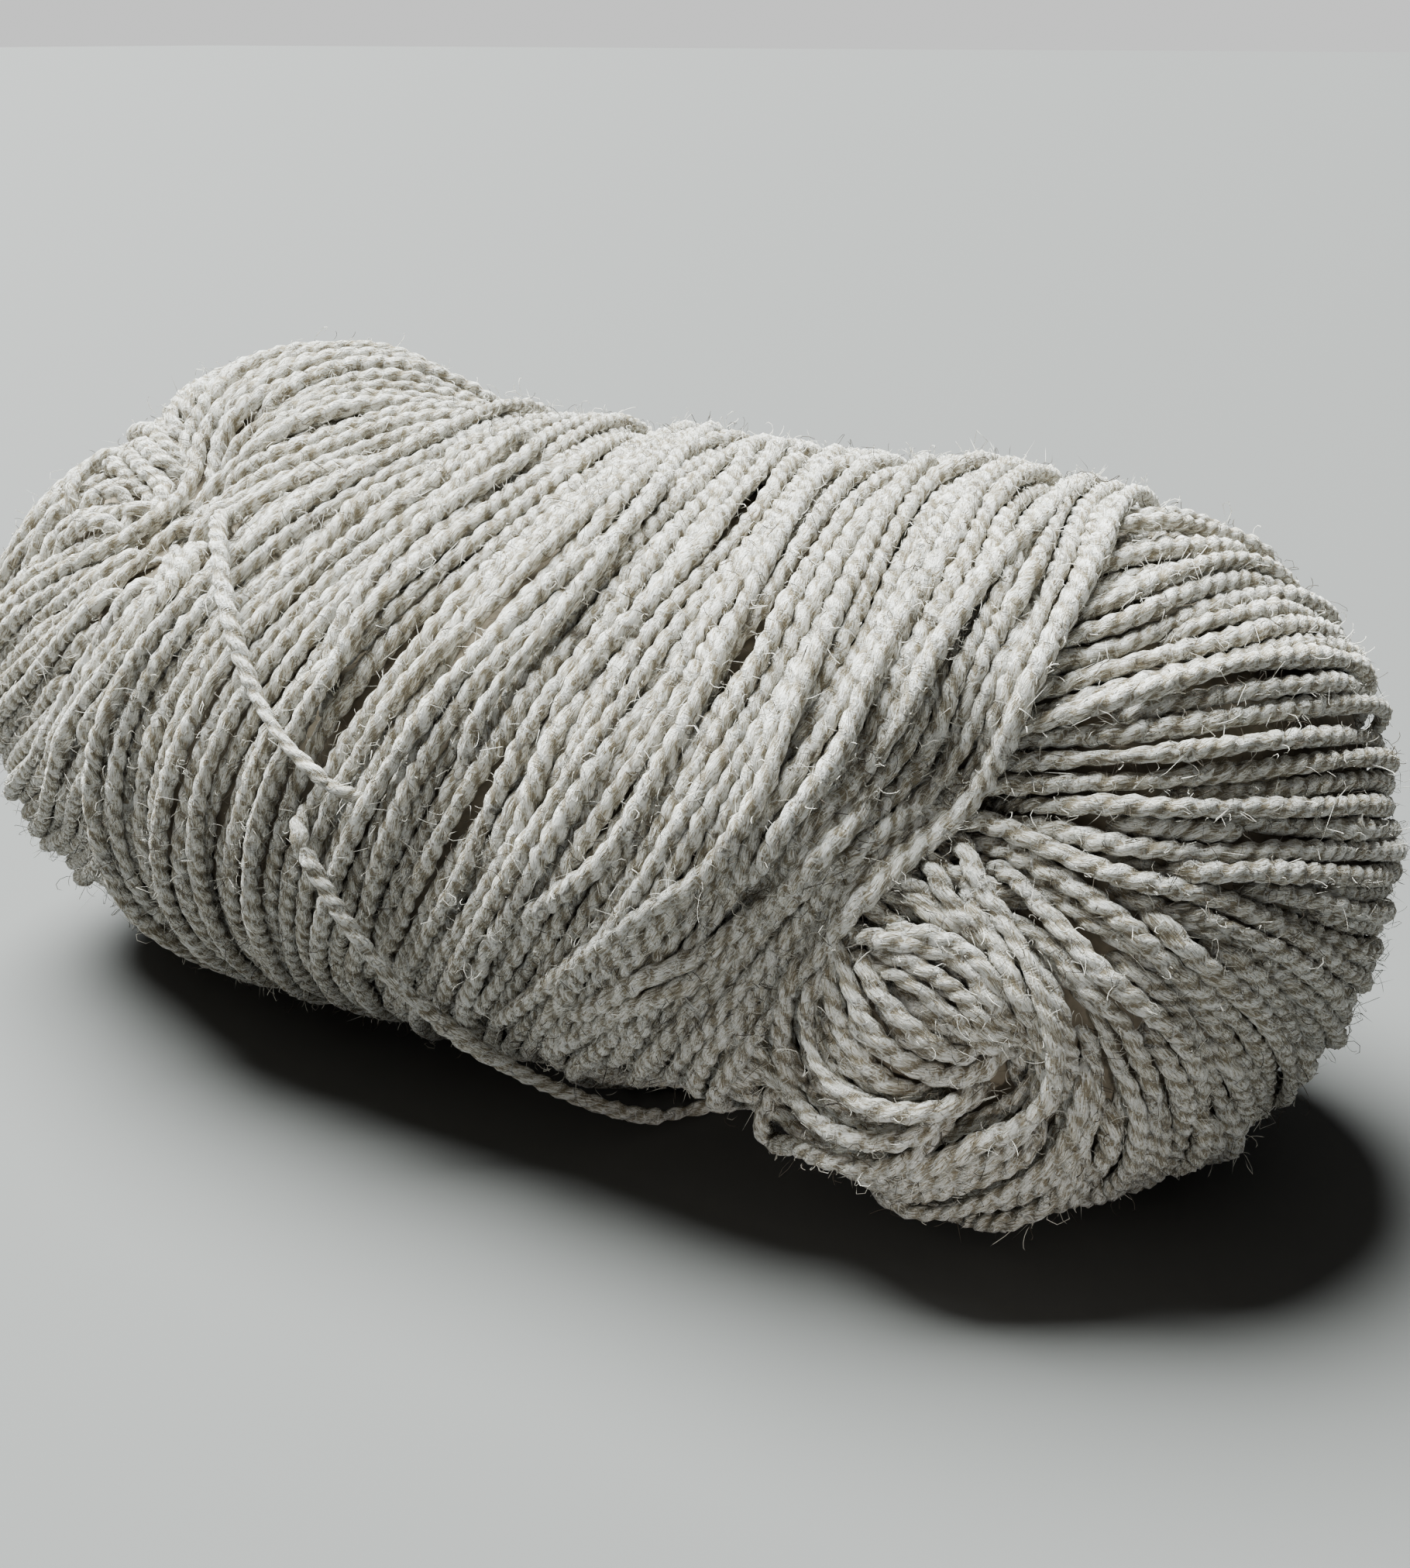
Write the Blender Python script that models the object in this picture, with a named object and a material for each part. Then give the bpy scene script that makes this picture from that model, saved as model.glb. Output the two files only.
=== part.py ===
"""A skein of two-ply wool yarn, lying on its side.

Metres, +Z up, and the skein lies on z = 0. X runs along it, and +X is the end whose mouth shows from
the front, which is -Y. The yarn bulges out at both ends, where it fans out of a mouth and goes round
the end. Slanting turns bind the middle. The yarn's outer end crosses those turns and goes under them
half way, so it shows as two stretches of cord.
"""

import math

import bpy
import numpy as np

# Driving dimensions
YARN_DIAMETER = 0.0024
BODY_HALF_WIDTH = 0.0465
BODY_HALF_HEIGHT = 0.0362
AXIS_HEIGHT = 0.0382
BODY_END_LENGTH = 0.038
BODY_END_CENTRES = (-0.039, 0.040)
BLEND = 0.0035
FLAT_SPOT_DEPTH = 0.0010

# Masses of yarn that stand out of the body at its two ends: ellipsoids, as centres and half sizes.
MASS_COLUMNS = ("name", "x", "y", "z", "half_x", "half_y", "half_z")
MASSES = (
    ("near_end", 0.0640, -0.0005, 0.0365, 0.0310, 0.0395, 0.0365),
    ("near_lobe", 0.0595, -0.0210, 0.0250, 0.0195, 0.0220, 0.0220),
    ("far_top_lobe", -0.0490, 0.0045, 0.0590, 0.0290, 0.0200, 0.0235),
    ("far_side_lobe", -0.0630, -0.0040, 0.0370, 0.0320, 0.0320, 0.0340),
)

# Hollows pressed into the form, each along a line between two points.
HOLLOW_COLUMNS = ("name", "start", "end", "depth", "spread")
HOLLOWS = (
    ("near_mouth", (0.0665, -0.0380, 0.0520), (0.0690, -0.0405, 0.0450), 0.0120, 0.0070),
    ("swirl", (0.0730, -0.0420, 0.0300), (0.0730, -0.0420, 0.0270), 0.0070, 0.0055),
    ("lip", (0.0690, -0.0405, 0.0440), (0.0730, -0.0420, 0.0300), 0.0035, 0.0035),
    ("beside_lobe", (0.0530, -0.0450, 0.0400), (0.0460, -0.0450, 0.0100), 0.0060, 0.0050),
    ("underside", (0.0330, -0.0270, -0.0020), (0.0430, -0.0240, -0.0020), 0.0060, 0.0120),
    ("far_mouth", (-0.0410, -0.0340, 0.0690), (-0.0530, -0.0240, 0.0720), 0.0095, 0.0070),
)

# The binding turns sway along the body as they go round it. At each place, from the far edge at 0 to
# the near edge at 1, a turn's x is its middle plus waves of one, two and three periods a round.
TURN_COLUMNS = ("place", "middle", "cos_1", "sin_1", "cos_2", "sin_2", "cos_3", "sin_3")
TURNS = (
    (0.0, -0.0343, -0.0026, 0.0096, -0.0031, 0.0007, -0.0023, -0.0005),
    (0.5, 0.0094, 0.0019, 0.0145, 0.0014, 0.0062, 0.0015, 0.0003),
    (1.0, 0.0530, 0.0045, 0.0102, -0.0012, 0.0017, 0.0007, 0.0028),
)
BINDING_RISE = 0.0020
TURN_ROWS = 43
ROWS_IN_RIB = 3
RIB_HEIGHT = 0.0011

# Each end's grid closes at its mouth, and its ridges run out from there.
END_COLUMNS = ("name", "edge_place", "centre_x", "heart", "rows")
NEAR_END = ("near", 1.0, 0.039, (0.0730, -0.0400, 0.0350), 25)
FAR_END = ("far", 0.0, -0.021, (-0.0510, -0.0240, 0.0700), 20)
COLUMNS = 64
FAN_RIDGE_HEIGHT = 0.0016
FAN_FADE = 0.016

# The yarn's outer end: a round cord, in two stretches with the binding turns over it between them.
CORD_POINT_SPACING = 2.5 * YARN_DIAMETER
CORD_SMOOTHING = 24
OUTER_END_ROUTES = {
    "outer_end_upper": (
        (-0.0368, -0.0292, 0.0668), (-0.0335, -0.0333, 0.0665), (-0.0304, -0.0365, 0.0654),
        (-0.0268, -0.0399, 0.0628), (-0.0222, -0.0437, 0.0588), (-0.0166, -0.0467, 0.0531),
        (-0.0100, -0.0493, 0.0486), (-0.0031, -0.0500, 0.0448),
    ),
    "outer_end_lower": (
        (-0.0066, -0.0508, 0.0373), (-0.0040, -0.0507, 0.0335), (-0.0009, -0.0502, 0.0291),
        (0.0026, -0.0486, 0.0238), (0.0062, -0.0452, 0.0183), (0.0102, -0.0421, 0.0139),
        (0.0142, -0.0384, 0.0101), (0.0173, -0.0346, 0.0071), (0.0198, -0.0309, 0.0046),
        (0.0216, -0.0273, 0.0027), (0.0230, -0.0240, 0.0016),
    ),
}


def unit(vectors):
    vectors = np.asarray(vectors, float)
    return vectors / np.linalg.norm(vectors, axis=-1, keepdims=True)


def named_rows(columns, rows):
    return [dict(zip(columns, row)) for row in rows]


def body_distance(points):
    """About how far each point is outside the body, a long form with an oval section and round ends."""
    along = np.clip(points[..., 0], *BODY_END_CENTRES)
    scaled = np.stack([
        (points[..., 0] - along) / BODY_END_LENGTH,
        points[..., 1] / BODY_HALF_WIDTH,
        (points[..., 2] - AXIS_HEIGHT) / BODY_HALF_HEIGHT,
    ], axis=-1)
    return (np.linalg.norm(scaled, axis=-1) - 1.0) * BODY_HALF_HEIGHT


def mass_distance(points, mass):
    offset = points - np.array((mass["x"], mass["y"], mass["z"]))
    halves = np.array((mass["half_x"], mass["half_y"], mass["half_z"]))
    size = np.linalg.norm(offset / halves, axis=-1)
    slope = np.linalg.norm(offset / np.square(halves), axis=-1)
    return size * (size - 1.0) / np.maximum(slope, 1e-9)


def segment_distance(points, start, end):
    start = np.array(start)
    run = np.array(end) - start
    share = np.clip((points - start) @ run / (run @ run), 0.0, 1.0)
    return np.linalg.norm(points - start - share[..., None] * run, axis=-1)


def wound_form(points):
    """Below zero inside the core of the skein, above zero outside it."""
    total = np.exp(-body_distance(points) / BLEND)
    for mass in named_rows(MASS_COLUMNS, MASSES):
        total = total + np.exp(-mass_distance(points, mass) / BLEND)
    surface = -BLEND * np.log(total)
    for hollow in named_rows(HOLLOW_COLUMNS, HOLLOWS):
        distance = segment_distance(points, hollow["start"], hollow["end"])
        surface = surface + hollow["depth"] * np.exp(-np.square(distance / hollow["spread"]))
    return surface


def surface_distance(origins, directions, reach=0.125, steps=90, halvings=14):
    """How far along each ray from inside the form its outermost surface lies."""
    distance = np.full(origins.shape[:-1], reach)
    found = np.zeros(distance.shape, bool)
    for _ in range(steps):
        found |= wound_form(origins + directions * distance[..., None]) < 0.0
        distance = np.where(found, distance, distance - reach / steps)
    low, high = distance, distance + reach / steps
    for _ in range(halvings):
        middle = 0.5 * (low + high)
        inside = wound_form(origins + directions * middle[..., None]) < 0.0
        low = np.where(inside, middle, low)
        high = np.where(inside, high, middle)
    return low


def column_angles():
    """The angle round the axis of each column: 0 faces the front, and a quarter turn faces up."""
    return np.arange(COLUMNS) * 2.0 * math.pi / COLUMNS


def turn_course(place):
    """The x of one turn at each column."""
    rows = named_rows(TURN_COLUMNS, TURNS)
    angle = column_angles()
    course = np.zeros(COLUMNS)
    for row in rows:
        weight = 1.0
        for other in rows:
            if other is not row:
                weight *= (place - other["place"]) / (row["place"] - other["place"])
        course += weight * row["middle"]
        for wave in (1, 2, 3):
            course += weight * row[f"cos_{wave}"] * np.cos(wave * angle)
            course += weight * row[f"sin_{wave}"] * np.sin(wave * angle)
    return course


def axis_points(along):
    return np.stack([along, np.zeros_like(along), np.full_like(along, AXIS_HEIGHT)], axis=1)


def radial_directions():
    angle = column_angles()
    return np.stack([np.zeros_like(angle), -np.cos(angle), np.sin(angle)], axis=1)


def rib(row):
    """The rise of a turn's row: bundles of turns stand up between valleys, some more than others."""
    phase = 2.0 * math.pi * row / ROWS_IN_RIB
    bundle = row // ROWS_IN_RIB
    unevenness = 0.75 + 0.25 * math.sin(2.4 * bundle)
    return RIB_HEIGHT * unevenness * (0.5 + 0.5 * math.cos(phase))


def traced(origins, directions, rise):
    distance = surface_distance(origins, directions)
    return origins + directions * (distance + rise)[:, None]


def end_rings(end_row):
    """Rings from the binding's edge to the mouth at the heart of one end, and the closing point."""
    end = dict(zip(END_COLUMNS, end_row))
    edge_course = turn_course(end["edge_place"])
    edge = radial_directions()
    heart = np.array(end["heart"])
    centre = np.array((end["centre_x"], 0.0, AXIS_HEIGHT))
    pole = unit(heart - centre)
    between = np.arccos(np.clip(edge @ pole, -1.0, 1.0))
    crest = np.where(np.arange(COLUMNS) % 2 == 0, 0.5, -0.5)
    crest = crest * (0.8 + 0.2 * np.sin(1.7 * np.arange(COLUMNS)))
    rings = []
    for row in range(end["rows"]):
        share = (row + 0.4) / (end["rows"] + 0.4)
        origins = axis_points(edge_course + share * (end["centre_x"] - edge_course))
        turned = np.sin((1.0 - share) * between)[:, None] * edge + np.sin(share * between)[:, None] * pole
        bare = traced(origins, unit(turned), 0.0)
        away = np.linalg.norm(bare - heart, axis=-1)
        ridge = FAN_RIDGE_HEIGHT * crest * (1.0 - np.exp(-np.square(away / FAN_FADE)))
        rings.append(bare + unit(bare - origins) * ridge[:, None])
    return rings, traced(centre[None, :], pole[None, :], 0.0)[0]


def on_floor(points):
    """Lowers the form a little and presses flat what would go below the floor."""
    lowered = np.array(points)
    lowered[..., 2] = np.maximum(lowered[..., 2] - FLAT_SPOT_DEPTH, 0.0)
    return lowered


def build_skein(material):
    far_rings, far_point = end_rings(FAR_END)
    near_rings, near_point = end_rings(NEAR_END)
    turns = []
    for row in range(TURN_ROWS):
        origins = axis_points(turn_course(row / (TURN_ROWS - 1)))
        turns.append(traced(origins, radial_directions(), BINDING_RISE + rib(row)))
    rings = far_rings[::-1] + turns + near_rings
    points = on_floor(np.concatenate([np.concatenate(rings), [far_point, near_point]]))
    faces = []
    for row in range(len(rings) - 1):
        for column in range(COLUMNS):
            after = (column + 1) % COLUMNS
            here, there = row * COLUMNS, (row + 1) * COLUMNS
            faces.append((here + column, there + column, there + after, here + after))
    far_centre = len(rings) * COLUMNS
    near_centre = far_centre + 1
    last = (len(rings) - 1) * COLUMNS
    for column in range(COLUMNS):
        after = (column + 1) % COLUMNS
        faces.append((far_centre, column, after))
        faces.append((near_centre, last + after, last + column))
    mesh = bpy.data.meshes.new("skein")
    mesh.from_pydata(points.tolist(), [], faces)
    mesh.shade_smooth()
    mesh.materials.append(material)
    skein = bpy.data.objects.new("skein", mesh)
    bpy.context.scene.collection.objects.link(skein)
    return skein


def smooth_route(route):
    """Evenly spaced points on a smooth curve through the points of a route."""
    knots = np.array(route)
    padded = np.concatenate([[2.0 * knots[0] - knots[1]], knots, [2.0 * knots[-1] - knots[-2]]])
    curve = []
    for before, start, end, after in zip(padded, padded[1:], padded[2:], padded[3:]):
        for step in range(CORD_SMOOTHING):
            share = step / CORD_SMOOTHING
            curve.append(0.5 * (
                2.0 * start
                + (end - before) * share
                + (2.0 * before - 5.0 * start + 4.0 * end - after) * share**2
                + (3.0 * start - before - 3.0 * end + after) * share**3
            ))
    curve = np.array(curve + [knots[-1]])
    travelled = np.concatenate([[0.0], np.cumsum(np.linalg.norm(np.diff(curve, axis=0), axis=1))])
    count = max(2, round(travelled[-1] / CORD_POINT_SPACING) + 1)
    wanted = np.linspace(0.0, travelled[-1], count)
    return np.stack([np.interp(wanted, travelled, curve[:, axis]) for axis in range(3)], axis=1)


def build_outer_end(name, route, material):
    curve = bpy.data.curves.new(name, "CURVE")
    curve.dimensions = "3D"
    curve.bevel_depth = 0.5 * YARN_DIAMETER
    curve.bevel_resolution = 2
    curve.use_fill_caps = True
    points = smooth_route(route)
    spline = curve.splines.new("POLY")
    spline.points.add(len(points) - 1)
    for slot, point in zip(spline.points, points):
        slot.co = (*point, 1.0)
    curve.materials.append(material)
    cord = bpy.data.objects.new(name, curve)
    bpy.context.scene.collection.objects.link(cord)
    return cord


def yarn_material():
    material = bpy.data.materials.new("oatmeal_wool")
    material.use_nodes = True
    shader = material.node_tree.nodes["Principled BSDF"]
    shader.inputs["Base Color"].default_value = (0.62, 0.58, 0.51, 1.0)
    shader.inputs["Roughness"].default_value = 0.95
    shader.inputs["Metallic"].default_value = 0.0
    return material


def main():
    for found in list(bpy.data.objects):
        bpy.data.objects.remove(found)
    wool = yarn_material()
    build_skein(wool)
    for name, route in OUTER_END_ROUTES.items():
        build_outer_end(name, route, wool)


main()
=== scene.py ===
# A skein of two-ply wool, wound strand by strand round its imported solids.
import math

import bpy
import numpy as np
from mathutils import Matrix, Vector
from mathutils.kdtree import KDTree


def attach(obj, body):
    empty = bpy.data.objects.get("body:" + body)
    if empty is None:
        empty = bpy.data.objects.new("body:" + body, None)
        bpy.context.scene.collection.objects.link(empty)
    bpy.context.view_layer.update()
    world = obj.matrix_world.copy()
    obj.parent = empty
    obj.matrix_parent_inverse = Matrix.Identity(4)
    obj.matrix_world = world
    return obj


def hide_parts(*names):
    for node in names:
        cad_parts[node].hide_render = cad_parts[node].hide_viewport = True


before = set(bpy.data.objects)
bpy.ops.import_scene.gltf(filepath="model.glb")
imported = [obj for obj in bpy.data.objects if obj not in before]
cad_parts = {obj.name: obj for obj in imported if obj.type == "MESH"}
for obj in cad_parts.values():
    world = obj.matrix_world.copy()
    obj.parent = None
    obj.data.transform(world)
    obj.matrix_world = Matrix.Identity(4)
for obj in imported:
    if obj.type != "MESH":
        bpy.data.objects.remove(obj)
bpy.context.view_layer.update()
print("loaded", sorted(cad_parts))


def unit(vectors):
    vectors = np.asarray(vectors, float)
    return vectors / np.maximum(np.linalg.norm(vectors, axis=-1, keepdims=True), 1e-12)


def addObject(name, data):
    thing = bpy.data.objects.new(name, data)
    bpy.context.scene.collection.objects.link(thing)
    return thing


# camera
cameraView = {
    "place": (0.1533, -0.2170, 0.1213),
    "azimuth": 32.98,  # degrees, turned left from +Y
    "pitch": 18.74,  # degrees, looking down
    "lens": 51.19,  # mm, on a 36 mm sensor along the picture's height
    "pixelFocal": 2877.76,  # the same lens in pixels of the 1820 x 2024 picture
    "pixelCentre": (910.0, 1012.0),
}


def cameraAxes():
    a, p = math.radians(cameraView["azimuth"]), math.radians(cameraView["pitch"])
    ahead = np.array((-math.sin(a) * math.cos(p), math.cos(a) * math.cos(p), -math.sin(p)))
    right = np.array((math.cos(a), math.sin(a), 0.0))
    return ahead, right, np.cross(right, ahead)


def addCamera():
    lens = bpy.data.cameras.new("camera")
    lens.lens = cameraView["lens"]
    lens.sensor_width = 36.0
    lens.sensor_fit = "AUTO"
    lens.clip_start = 0.01
    camera = addObject("camera", lens)
    camera.location = cameraView["place"]
    camera.rotation_mode = "QUATERNION"
    camera.rotation_quaternion = Vector(cameraAxes()[0]).to_track_quat("-Z", "Y")
    bpy.context.scene.camera = camera


addCamera()
print("camera placed")

# the yarn, and its loose outer end as two cords
yarn = {
    "diameter": 0.0024,
    "twistLength": 0.0054,  # one full turn of the two plies
    "plyOffset": 0.22,  # of the strand's radius
    "plyRadius": 0.78,
}
outerEnd = {
    "outer_end_upper": (
        (-0.0368, -0.0292, 0.0668), (-0.0335, -0.0333, 0.0665), (-0.0304, -0.0365, 0.0654),
        (-0.0268, -0.0399, 0.0628), (-0.0222, -0.0437, 0.0588), (-0.0166, -0.0467, 0.0531),
        (-0.0100, -0.0493, 0.0486), (-0.0031, -0.0500, 0.0448),
    ),
    "outer_end_lower": (
        (-0.0066, -0.0508, 0.0373), (-0.0040, -0.0507, 0.0335), (-0.0009, -0.0502, 0.0291),
        (0.0026, -0.0486, 0.0238), (0.0062, -0.0452, 0.0183), (0.0102, -0.0421, 0.0139),
        (0.0142, -0.0384, 0.0101), (0.0173, -0.0346, 0.0071), (0.0198, -0.0309, 0.0046),
        (0.0216, -0.0273, 0.0027), (0.0230, -0.0240, 0.0016),
    ),
}


def smoothPath(knots, step, samples=24):
    # evenly spaced points on a smooth curve through given ones
    knots = np.asarray(knots, float)
    padded = np.concatenate([[2 * knots[0] - knots[1]], knots, [2 * knots[-1] - knots[-2]]])
    share = np.linspace(0.0, 1.0, samples, endpoint=False)[:, None]
    bits = []
    for a, b, c, d in zip(padded, padded[1:], padded[2:], padded[3:]):
        bits.append(0.5 * (2 * b + (c - a) * share + (2 * a - 5 * b + 4 * c - d) * share**2
                           + (3 * b - a - 3 * c + d) * share**3))
    return evenly(np.concatenate(bits + [knots[-1:]]), step)


def pathLength(points):
    return np.linalg.norm(np.diff(points, axis=0), axis=1).sum()


def evenly(points, step):
    travelled = np.concatenate([[0.0], np.cumsum(np.linalg.norm(np.diff(points, axis=0), axis=1))])
    count = max(2, int(round(travelled[-1] / step)) + 1)
    return resampled(points, travelled, count)


def resampled(points, travelled, count):
    wanted = np.linspace(0.0, travelled[-1], count)
    return np.stack([np.interp(wanted, travelled, points[:, k]) for k in range(3)], axis=1)


def smoothed(points, rounds, closed=False):
    points = points.copy()
    for _ in range(rounds):
        if closed:
            points = points * 0.5 + 0.25 * (np.roll(points, 1, 0) + np.roll(points, -1, 0))
        else:
            points[1:-1] = points[1:-1] * 0.5 + 0.25 * (points[:-2] + points[2:])
    return points


def fromEnds(count):
    # how many points away the nearer end of a row is
    return np.minimum(np.arange(count), np.arange(count)[::-1])


def smoothNoise(rng, count, spacing, length, closed=False):
    # a wandering value of about unit size, which changes over the given length
    knots = max(4, int(round(count * spacing / length)))
    values = rng.normal(size=knots)
    place = np.arange(count) / count * knots if closed else np.linspace(0, knots - 1.001, count)
    knot = np.floor(place).astype(int)
    share = place - knot
    share = share * share * (3 - 2 * share)
    return values[knot % knots] * (1 - share) + values[(knot + 1) % knots] * share


# the wound form under the strands
woundForm = {
    "axisHeight": 0.0382, "halfWidth": 0.0465, "halfHeight": 0.0362,
    "endLength": 0.038, "endCentres": (-0.039, 0.040), "blend": 0.0035, "lowered": 0.0010,
    "masses": (  # centre, half sizes
        ((0.0640, -0.0005, 0.0365), (0.0310, 0.0395, 0.0365)),
        ((0.0595, -0.0210, 0.0250), (0.0195, 0.0220, 0.0220)),
        ((-0.0490, 0.0045, 0.0590), (0.0290, 0.0200, 0.0235)),
        ((-0.0630, -0.0040, 0.0370), (0.0320, 0.0320, 0.0340)),
    ),
    "hollows": (  # start, end, depth, spread
        ((0.0665, -0.0380, 0.0520), (0.0690, -0.0405, 0.0450), 0.0150, 0.0082),
        ((0.0730, -0.0420, 0.0300), (0.0730, -0.0420, 0.0270), 0.0070, 0.0055),
        ((0.0690, -0.0405, 0.0440), (0.0730, -0.0420, 0.0300), 0.0035, 0.0035),
        ((0.0490, -0.0450, 0.0380), (0.0430, -0.0450, 0.0100), 0.0120, 0.0060),
        ((0.0330, -0.0270, -0.0020), (0.0430, -0.0240, -0.0020), 0.0060, 0.0120),
        ((-0.0410, -0.0340, 0.0690), (-0.0530, -0.0240, 0.0720), 0.0095, 0.0070),
    ),
}
surface = {  # how points find the form's surface
    "reach": 0.0006, "leastSlope": 0.05, "leastSize": 0.3, "longest": 0.004,
}
sixWays = np.concatenate([np.eye(3), -np.eye(3)]) * surface["reach"]
sevenPlaces = np.concatenate([sixWays, np.zeros((1, 3))])
sight = {  # steps along a line of sight
    "from": 0.13, "to": 0.4, "count": 220, "share": 0.6, "shortest": 0.0002, "longest": 0.004,
    "touching": 0.00001,
}


def segmentDistance(points, start, end):
    start, run = np.array(start), np.array(end) - np.array(start)
    share = np.clip((points - start) @ run / (run @ run), 0.0, 1.0)
    return np.linalg.norm(points - start - share[..., None] * run, axis=-1)


def formDistance(points):
    w = woundForm
    along = np.clip(points[..., 0], *w["endCentres"])
    scaled = np.stack([(points[..., 0] - along) / w["endLength"], points[..., 1] / w["halfWidth"],
                       (points[..., 2] - w["axisHeight"]) / w["halfHeight"]], axis=-1)
    total = np.exp(-(np.linalg.norm(scaled, axis=-1) - 1.0) * w["halfHeight"] / w["blend"])
    for centre, halves in w["masses"]:
        offset, halves = points - np.array(centre), np.array(halves)
        size = np.linalg.norm(offset / halves, axis=-1)
        slope = np.linalg.norm(offset / halves**2, axis=-1)
        total = total + np.exp(-size * (size - 1.0) / np.maximum(slope, 1e-9) / w["blend"])
    distance = -w["blend"] * np.log(total)
    for start, end, depth, spread in w["hollows"]:
        distance = distance + depth * np.exp(-((segmentDistance(points, start, end) / spread) ** 2))
    return distance


def formSlope(points):
    value = formDistance(points[..., None, :] + sixWays)
    return (value[..., :3] - value[..., 3:]) / (2 * surface["reach"])


def outward(points):
    return unit(formSlope(points))


def formHeight(points):
    # how high points are over the form, and the way out of it
    slope = formSlope(points)
    size = np.maximum(np.linalg.norm(slope, axis=-1), surface["leastSize"])
    return formDistance(points) / size, slope / size[..., None]


def slideOn(point):
    # one quick correction of a single point, and the way out of the form there
    value = formDistance(point + sevenPlaces)
    slope = (value[:3] - value[3:6]) / (2 * surface["reach"])
    size = max(float(slope @ slope), surface["leastSlope"])
    return point - value[6] * slope / size, slope / math.sqrt(size)


def onForm(points, rounds=3):
    # the nearest points of the form's surface, and the way out of it
    points = np.array(points, float)
    for _ in range(rounds):
        slope = formSlope(points)
        size = np.maximum((slope**2).sum(-1, keepdims=True), surface["leastSlope"])
        step = formDistance(points)[..., None] * slope / size
        points -= np.clip(step, -surface["longest"], surface["longest"])
    return points, outward(points)


def sightLine(pixels):
    # what a pixel of the photograph sees of the form
    ahead, right, up = cameraAxes()
    pixels = np.atleast_2d(np.asarray(pixels, float))
    cx, cy = cameraView["pixelCentre"]
    ray = unit(ahead + right * ((pixels[:, :1] - cx) / cameraView["pixelFocal"])
               - up * ((pixels[:, 1:] - cy) / cameraView["pixelFocal"]))
    place = np.array(cameraView["place"]) + (0, 0, woundForm["lowered"])
    # a line that only passes close by gives the point where it comes closest
    reach = np.full(len(ray), sight["from"])
    best, nearest = reach.copy(), np.full(len(ray), 1.0)
    for _ in range(sight["count"]):
        off = formDistance(place + ray * reach[:, None])
        best, nearest = np.where(off < nearest, reach, best), np.minimum(off, nearest)
        stride = np.clip(off * sight["share"], sight["shortest"], sight["longest"])
        reach = np.minimum(reach + np.where(nearest > sight["touching"], stride, 0.0), sight["to"])
    return onForm(place + ray * best[:, None])[0]


def lowered(points):
    # from the form's own height down to where the skein lies, and never into the floor
    points = points.copy()
    points[..., 2] = np.maximum(points[..., 2] - woundForm["lowered"], 0.45 * yarn["diameter"])
    return points


# binding: the slanting turns round the middle
binding = {
    # place from the far edge to the near one, then the turn's x: middle, waves of one to three periods
    "turns": (
        (0.0, -0.0343, -0.0026, 0.0096, -0.0031, 0.0007, -0.0023, -0.0005),
        (0.5, 0.0094, 0.0019, 0.0145, 0.0014, 0.0062, 0.0015, 0.0003),
        (1.0, 0.0530, 0.0045, 0.0112, -0.0032, 0.0032, 0.0007, 0.0028),
    ),
    "tuck": (-0.85, 0.50, 0.0080),  # angle, spread and depth of the bay in the near edge, by the lobe
    "strands": 54, "columns": 260, "seed": 4,
    "girth": 0.26, "width": 0.087,  # about what the turns measure round the skein and along it
    "edges": (0.004, 0.996),
    "wander": 0.0020, "wanderLength": 0.045, "shifted": 0.4,  # along the skein
    "height": 0.0007, "heightWave": 0.0007, "heightLength": 0.05, "edgeHeight": 0.0016,
    "low": -0.0010, "high": 0.0028,
    # groups over the width, turns of the pattern round the skein, start: strands draw together and rise
    "bundles": ((9.0, 1.0, 0.4), (13.0, -1.0, 2.1), (6.0, 2.0, 4.0)),
    "bundlePull": 0.0028, "bundleRise": 0.00038,
    "rounds": 70, "crowding": 0.88, "push": 0.45, "pace": 0.6, "comeBack": 0.06,
    "overEnd": 0.0013, "overWidth": 0.0024,  # how the turns rise over the loose end
    "rayFrom": 0.062, "rayStep": 0.001, "raySteps": 46, "halvings": 8,
}


def courseX(place, angle):
    rows = binding["turns"]
    total = 0.0
    for row in rows:
        weight = 1.0
        for other in rows:
            if other is not row:
                weight = weight * (place - other[0]) / (row[0] - other[0])
        wave = row[1]
        for k in (1, 2, 3):
            wave = wave + row[2 * k] * np.cos(k * angle) + row[2 * k + 1] * np.sin(k * angle)
        total = total + weight * wave
    where, spread, depth = binding["tuck"]
    off = (angle - where + math.pi) % (2 * math.pi) - math.pi
    return total - depth * np.clip(place, 0, 1) ** 2 * np.exp(-((off / spread) ** 2))


def outFromAxis(x, angle, height):
    # where a ray from the axis leaves the form, raised by a height
    origin = np.stack([x, np.zeros_like(x), np.full_like(x, woundForm["axisHeight"])], axis=-1)
    way = np.stack([np.zeros_like(angle), -np.cos(angle), np.sin(angle)], axis=-1)
    reach = np.full(x.shape, binding["rayFrom"])
    found = np.zeros(x.shape, bool)
    for _ in range(binding["raySteps"]):
        found |= formDistance(origin + way * reach[..., None]) < 0
        reach = np.where(found, reach, reach - binding["rayStep"])
    low, high = reach, reach + binding["rayStep"]
    for _ in range(binding["halvings"]):
        middle = (low + high) / 2
        inside = formDistance(origin + way * middle[..., None]) < 0
        low, high = np.where(inside, middle, low), np.where(inside, high, middle)
    return origin + way * (low + height)[..., None]


def ringSmoothed(values):
    return values * 0.6 + 0.2 * (np.roll(values, 1, 1) + np.roll(values, -1, 1))


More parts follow.
